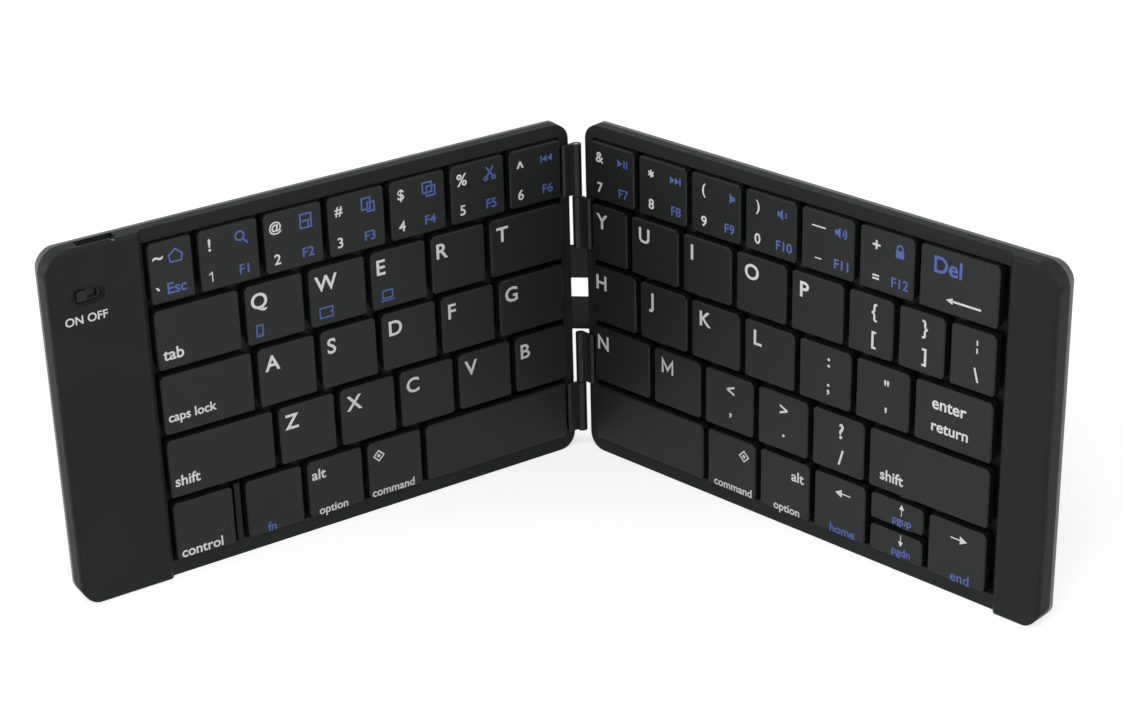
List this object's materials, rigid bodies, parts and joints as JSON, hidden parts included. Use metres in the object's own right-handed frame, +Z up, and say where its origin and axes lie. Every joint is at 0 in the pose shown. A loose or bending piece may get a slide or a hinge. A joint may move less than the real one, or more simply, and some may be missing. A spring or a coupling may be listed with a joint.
{
  "type": "folding keyboard",
  "caption": "Pocket keyboard that folds in half on a pin hinge, with low key caps, a slide power switch and a charging socket.",
  "frame": {"origin": "under the middle of the open keyboard's outline, at the level of the front edges on which it stands; the hinge axis is on +Y from it", "axes": "+Z up along the hinge axis, from the front edges to the rear edges; +X to the right half's side; -Y out of the open side of the V, towards the typist's side of the key faces"},
  "size_m": [0.2336, 0.0924, 0.092],
  "materials": {
    "case_plastic": "fine matte",
    "key_plastic": "fine matte",
    "switch_plastic": "ribbed matte",
    "back_cover": "satin",
    "steel_plate": "bare",
    "switch_film": "film",
    "dome_rubber": "translucent silicone",
    "hinge_metal": "black",
    "foot_rubber": "matte",
    "battery_foil": "foil pouch",
    "board": "solder mask",
    "socket_steel": "bright",
    "light_lens": "clear",
    "pin_steel": "ground",
    "sleeve_rubber": "matte"
  },
  "bodies": {
    "left_half": {"left_frame": "case_plastic", "left_cover": "back_cover", "left_key_plate": "steel_plate", "left_membrane": "switch_film", "left_domes": "dome_rubber", "left_hinge_leaf": "hinge_metal", "left_feet": "foot_rubber", "battery": "battery_foil", "circuit_board": "board", "charging_port": "socket_steel", "status_light": "light_lens", "upper_hinge_pin": "pin_steel", "lower_hinge_pin": "pin_steel", "upper_strap": "sleeve_rubber", "lower_strap": "sleeve_rubber"},
    "right_half": {"right_frame": "case_plastic", "right_cover": "back_cover", "right_key_plate": "steel_plate", "right_membrane": "switch_film", "right_domes": "dome_rubber", "right_hinge_leaf": "hinge_metal", "right_feet": "foot_rubber"},
    "power_switch": {"power_switch": "switch_plastic"},
    "keys_1_to_6": {"keys_1_to_6": "key_plastic"},
    "key_escape": {"key_escape": "key_plastic"},
    "keys_q_to_t": {"keys_q_to_t": "key_plastic"},
    "key_tab": {"key_tab": "key_plastic"},
    "key_a": {"key_a": "key_plastic"},
    "key_s": {"key_s": "key_plastic"},
    "key_d": {"key_d": "key_plastic"},
    "key_f": {"key_f": "key_plastic"},
    "key_g": {"key_g": "key_plastic"},
    "key_caps_lock": {"key_caps_lock": "key_plastic"},
    "keys_z_to_b": {"keys_z_to_b": "key_plastic"},
    "key_left_shift": {"key_left_shift": "key_plastic"},
    "key_left_space": {"key_left_space": "key_plastic"},
    "key_left_command": {"key_left_command": "key_plastic"},
    "key_left_alt": {"key_left_alt": "key_plastic"},
    "key_fn": {"key_fn": "key_plastic"},
    "key_control": {"key_control": "key_plastic"},
    "keys_7_to_equals": {"keys_7_to_equals": "key_plastic"},
    "key_delete": {"key_delete": "key_plastic"},
    "keys_y_to_bracket": {"keys_y_to_bracket": "key_plastic"},
    "key_backslash": {"key_backslash": "key_plastic"},
    "key_h": {"key_h": "key_plastic"},
    "key_j": {"key_j": "key_plastic"},
    "key_k": {"key_k": "key_plastic"},
    "key_l": {"key_l": "key_plastic"},
    "key_semicolon": {"key_semicolon": "key_plastic"},
    "key_quote": {"key_quote": "key_plastic"},
    "key_enter": {"key_enter": "key_plastic"},
    "keys_n_to_slash": {"keys_n_to_slash": "key_plastic"},
    "key_right_shift": {"key_right_shift": "key_plastic"},
    "key_right_space": {"key_right_space": "key_plastic"},
    "key_right_command": {"key_right_command": "key_plastic"},
    "key_right_alt": {"key_right_alt": "key_plastic"},
    "key_arrow_left": {"key_arrow_left": "key_plastic"},
    "key_arrow_up": {"key_arrow_up": "key_plastic"},
    "key_arrow_down": {"key_arrow_down": "key_plastic"},
    "key_arrow_right": {"key_arrow_right": "key_plastic"}
  },
  "joints": [
    {"name": "fold", "type": "hinge", "parent": "left_half", "child": "right_half", "pos_m": [0, 0.04202, 0.046], "axis": [0, 0, 1], "range_deg": [-103.8, 76.2], "deforming": ["upper_strap", "lower_strap"]},
    {"name": "power_slide", "type": "slide", "parent": "left_half", "child": "power_switch", "axis": [0.7869, 0.617, 0], "range_m": [0, 0.0026]},
    {"name": "keys_1_to_6_press", "type": "slide", "parent": "left_half", "child": "keys_1_to_6", "axis": [-0.617, 0.7869, 0], "range_m": [0, 0.0012], "stiffness_N_per_m": 450, "deforming": ["left_domes"]},
    {"name": "key_escape_press", "type": "slide", "parent": "left_half", "child": "key_escape", "axis": [-0.617, 0.7869, 0], "range_m": [0, 0.0012], "stiffness_N_per_m": 450, "deforming": ["left_domes"]},
    {"name": "keys_q_to_t_press", "type": "slide", "parent": "left_half", "child": "keys_q_to_t", "axis": [-0.617, 0.7869, 0], "range_m": [0, 0.0012], "stiffness_N_per_m": 450, "deforming": ["left_domes"]},
    {"name": "key_tab_press", "type": "slide", "parent": "left_half", "child": "key_tab", "axis": [-0.617, 0.7869, 0], "range_m": [0, 0.0012], "stiffness_N_per_m": 450, "deforming": ["left_domes"]},
    {"name": "key_a_press", "type": "slide", "parent": "left_half", "child": "key_a", "axis": [-0.617, 0.7869, 0], "range_m": [0, 0.0012], "stiffness_N_per_m": 450, "deforming": ["left_domes"]},
    {"name": "key_s_press", "type": "slide", "parent": "left_half", "child": "key_s", "axis": [-0.617, 0.7869, 0], "range_m": [0, 0.0012], "stiffness_N_per_m": 450, "deforming": ["left_domes"]},
    {"name": "key_d_press", "type": "slide", "parent": "left_half", "child": "key_d", "axis": [-0.617, 0.7869, 0], "range_m": [0, 0.0012], "stiffness_N_per_m": 450, "deforming": ["left_domes"]},
    {"name": "key_f_press", "type": "slide", "parent": "left_half", "child": "key_f", "axis": [-0.617, 0.7869, 0], "range_m": [0, 0.0012], "stiffness_N_per_m": 450, "deforming": ["left_domes"]},
    {"name": "key_g_press", "type": "slide", "parent": "left_half", "child": "key_g", "axis": [-0.617, 0.7869, 0], "range_m": [0, 0.0012], "stiffness_N_per_m": 450, "deforming": ["left_domes"]},
    {"name": "key_caps_lock_press", "type": "slide", "parent": "left_half", "child": "key_caps_lock", "axis": [-0.617, 0.7869, 0], "range_m": [0, 0.0012], "stiffness_N_per_m": 450, "deforming": ["left_domes"]},
    {"name": "keys_z_to_b_press", "type": "slide", "parent": "left_half", "child": "keys_z_to_b", "axis": [-0.617, 0.7869, 0], "range_m": [0, 0.0012], "stiffness_N_per_m": 450, "deforming": ["left_domes"]},
    {"name": "key_left_shift_press", "type": "slide", "parent": "left_half", "child": "key_left_shift", "axis": [-0.617, 0.7869, 0], "range_m": [0, 0.0012], "stiffness_N_per_m": 450, "deforming": ["left_domes"]},
    {"name": "key_left_space_press", "type": "slide", "parent": "left_half", "child": "key_left_space", "axis": [-0.617, 0.7869, 0], "range_m": [0, 0.0012], "stiffness_N_per_m": 450, "deforming": ["left_domes"]},
    {"name": "key_left_command_press", "type": "slide", "parent": "left_half", "child": "key_left_command", "axis": [-0.617, 0.7869, 0], "range_m": [0, 0.0012], "stiffness_N_per_m": 450, "deforming": ["left_domes"]},
    {"name": "key_left_alt_press", "type": "slide", "parent": "left_half", "child": "key_left_alt", "axis": [-0.617, 0.7869, 0], "range_m": [0, 0.0012], "stiffness_N_per_m": 450, "deforming": ["left_domes"]},
    {"name": "key_fn_press", "type": "slide", "parent": "left_half", "child": "key_fn", "axis": [-0.617, 0.7869, 0], "range_m": [0, 0.0012], "stiffness_N_per_m": 450, "deforming": ["left_domes"]},
    {"name": "key_control_press", "type": "slide", "parent": "left_half", "child": "key_control", "axis": [-0.617, 0.7869, 0], "range_m": [0, 0.0012], "stiffness_N_per_m": 450, "deforming": ["left_domes"]},
    {"name": "keys_7_to_equals_press", "type": "slide", "parent": "right_half", "child": "keys_7_to_equals", "axis": [0.617, 0.7869, 0], "range_m": [0, 0.0012], "stiffness_N_per_m": 450, "deforming": ["right_domes"]},
    {"name": "key_delete_press", "type": "slide", "parent": "right_half", "child": "key_delete", "axis": [0.617, 0.7869, 0], "range_m": [0, 0.0012], "stiffness_N_per_m": 450, "deforming": ["right_domes"]},
    {"name": "keys_y_to_bracket_press", "type": "slide", "parent": "right_half", "child": "keys_y_to_bracket", "axis": [0.617, 0.7869, 0], "range_m": [0, 0.0012], "stiffness_N_per_m": 450, "deforming": ["right_domes"]},
    {"name": "key_backslash_press", "type": "slide", "parent": "right_half", "child": "key_backslash", "axis": [0.617, 0.7869, 0], "range_m": [0, 0.0012], "stiffness_N_per_m": 450, "deforming": ["right_domes"]},
    {"name": "key_h_press", "type": "slide", "parent": "right_half", "child": "key_h", "axis": [0.617, 0.7869, 0], "range_m": [0, 0.0012], "stiffness_N_per_m": 450, "deforming": ["right_domes"]},
    {"name": "key_j_press", "type": "slide", "parent": "right_half", "child": "key_j", "axis": [0.617, 0.7869, 0], "range_m": [0, 0.0012], "stiffness_N_per_m": 450, "deforming": ["right_domes"]},
    {"name": "key_k_press", "type": "slide", "parent": "right_half", "child": "key_k", "axis": [0.617, 0.7869, 0], "range_m": [0, 0.0012], "stiffness_N_per_m": 450, "deforming": ["right_domes"]},
    {"name": "key_l_press", "type": "slide", "parent": "right_half", "child": "key_l", "axis": [0.617, 0.7869, 0], "range_m": [0, 0.0012], "stiffness_N_per_m": 450, "deforming": ["right_domes"]},
    {"name": "key_semicolon_press", "type": "slide", "parent": "right_half", "child": "key_semicolon", "axis": [0.617, 0.7869, 0], "range_m": [0, 0.0012], "stiffness_N_per_m": 450, "deforming": ["right_domes"]},
    {"name": "key_quote_press", "type": "slide", "parent": "right_half", "child": "key_quote", "axis": [0.617, 0.7869, 0], "range_m": [0, 0.0012], "stiffness_N_per_m": 450, "deforming": ["right_domes"]},
    {"name": "key_enter_press", "type": "slide", "parent": "right_half", "child": "key_enter", "axis": [0.617, 0.7869, 0], "range_m": [0, 0.0012], "stiffness_N_per_m": 450, "deforming": ["right_domes"]},
    {"name": "keys_n_to_slash_press", "type": "slide", "parent": "right_half", "child": "keys_n_to_slash", "axis": [0.617, 0.7869, 0], "range_m": [0, 0.0012], "stiffness_N_per_m": 450, "deforming": ["right_domes"]},
    {"name": "key_right_shift_press", "type": "slide", "parent": "right_half", "child": "key_right_shift", "axis": [0.617, 0.7869, 0], "range_m": [0, 0.0012], "stiffness_N_per_m": 450, "deforming": ["right_domes"]},
    {"name": "key_right_space_press", "type": "slide", "parent": "right_half", "child": "key_right_space", "axis": [0.617, 0.7869, 0], "range_m": [0, 0.0012], "stiffness_N_per_m": 450, "deforming": ["right_domes"]},
    {"name": "key_right_command_press", "type": "slide", "parent": "right_half", "child": "key_right_command", "axis": [0.617, 0.7869, 0], "range_m": [0, 0.0012], "stiffness_N_per_m": 450, "deforming": ["right_domes"]},
    {"name": "key_right_alt_press", "type": "slide", "parent": "right_half", "child": "key_right_alt", "axis": [0.617, 0.7869, 0], "range_m": [0, 0.0012], "stiffness_N_per_m": 450, "deforming": ["right_domes"]},
    {"name": "key_arrow_left_press", "type": "slide", "parent": "right_half", "child": "key_arrow_left", "axis": [0.617, 0.7869, 0], "range_m": [0, 0.0012], "stiffness_N_per_m": 450, "deforming": ["right_domes"]},
    {"name": "key_arrow_up_press", "type": "slide", "parent": "right_half", "child": "key_arrow_up", "axis": [0.617, 0.7869, 0], "range_m": [0, 0.0012], "stiffness_N_per_m": 450, "deforming": ["right_domes"]},
    {"name": "key_arrow_down_press", "type": "slide", "parent": "right_half", "child": "key_arrow_down", "axis": [0.617, 0.7869, 0], "range_m": [0, 0.0012], "stiffness_N_per_m": 450, "deforming": ["right_domes"]},
    {"name": "key_arrow_right_press", "type": "slide", "parent": "right_half", "child": "key_arrow_right", "axis": [0.617, 0.7869, 0], "range_m": [0, 0.0012], "stiffness_N_per_m": 450, "deforming": ["right_domes"]}
  ]
}
